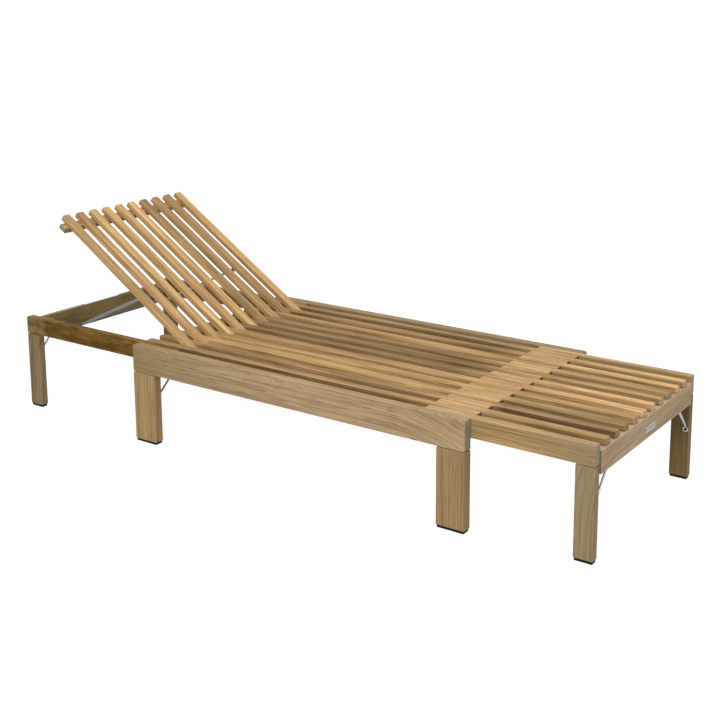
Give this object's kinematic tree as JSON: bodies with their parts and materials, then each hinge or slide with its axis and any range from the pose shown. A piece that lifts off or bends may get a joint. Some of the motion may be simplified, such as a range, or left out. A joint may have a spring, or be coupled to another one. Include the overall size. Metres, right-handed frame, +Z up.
{
  "type": "sun lounger",
  "caption": "Slatted teak sun lounger with a propped tilting backrest, whose head and foot sections slide into a deeper middle frame on wide legs.",
  "frame": {"origin": "on the floor under the middle of the lounger's overall length and width", "axes": "+X toward the foot end, +Y toward the far side, +Z up"},
  "size_m": [2.004, 0.7, 0.6378],
  "materials": {
    "teak_frame": "oiled teak, fine grain",
    "teak_slat": "oiled teak, fine grain",
    "stainless": "polished rod",
    "glide": "black, matt",
    "plate": "plain brushed plate"
  },
  "bodies": {
    "main_frame": {"main_brace_screws": "stainless", "main_braces": "stainless", "main_centre_rail_foot": "teak_frame", "main_centre_rail_head": "teak_frame", "main_end_rail_foot": "teak_frame", "main_end_rail_head": "teak_frame", "main_glides": "glide", "main_leg_dowels": "teak_frame", "main_leg_foot_far": "teak_frame", "main_leg_foot_near": "teak_frame", "main_leg_head_far": "teak_frame", "main_leg_head_near": "teak_frame", "main_rail_far": "teak_frame", "main_rail_near": "teak_frame", "main_runners": "teak_frame", "main_slat_01": "teak_slat", "main_slat_02": "teak_slat", "main_slat_03": "teak_slat", "main_slat_04": "teak_slat", "main_slat_05": "teak_slat", "main_slat_06": "teak_slat", "main_slat_07": "teak_slat", "main_slat_08": "teak_slat", "main_slat_09": "teak_slat", "main_slat_10": "teak_slat", "main_slat_11": "teak_slat"},
    "head_section": {"head_brace_screws": "stainless", "head_braces": "stainless", "head_cross_rail": "teak_frame", "head_glides": "glide", "head_inner_rail": "teak_frame", "head_leg_dowels": "teak_frame", "head_leg_far": "teak_frame", "head_leg_near": "teak_frame", "head_rail_far": "teak_frame", "head_rail_near": "teak_frame", "hinge_pins": "stainless", "stay_racks": "teak_frame", "backrest_rests": "teak_frame"},
    "foot_section": {"foot_brace_screws": "stainless", "foot_braces": "stainless", "foot_cross_rail": "teak_frame", "foot_glides": "glide", "foot_inner_rail": "teak_frame", "foot_leg_dowels": "teak_frame", "foot_leg_far": "teak_frame", "foot_leg_near": "teak_frame", "foot_rail_far": "teak_frame", "foot_rail_near": "teak_frame", "foot_slats": "teak_slat", "blank_badge": "plate"},
    "backrest": {"backrest_slats": "teak_slat", "backrest_crossbar": "teak_frame", "hinge_tube": "stainless", "hinge_saddles": "teak_frame", "stay_brackets": "stainless", "stay_pins": "stainless"},
    "stay": {"stay_bar": "stainless", "stay_leg_near": "stainless", "stay_leg_far": "stainless"}
  },
  "joints": [
    {"name": "head_slide", "type": "slide", "parent": "main_frame", "child": "head_section", "axis": [1, 0, 0], "range_m": [0, 0.35]},
    {"name": "foot_slide", "type": "slide", "parent": "main_frame", "child": "foot_section", "axis": [1, 0, 0], "range_m": [-0.28, 0]},
    {"name": "backrest_tilt", "type": "hinge", "parent": "head_section", "child": "backrest", "pos_m": [-0.352, 0, 0.273], "axis": [0, 1, 0], "range_deg": [-33, 17]},
    {"name": "stay_fold", "type": "hinge", "parent": "backrest", "child": "stay", "pos_m": [-0.56418, 0, 0.41079], "axis": [0, 1, 0], "range_deg": [-29, 56]}
  ],
  "couplings": [
    {"joint": "stay_fold", "follows": "backrest_tilt", "ratio": -1.6758}
  ]
}
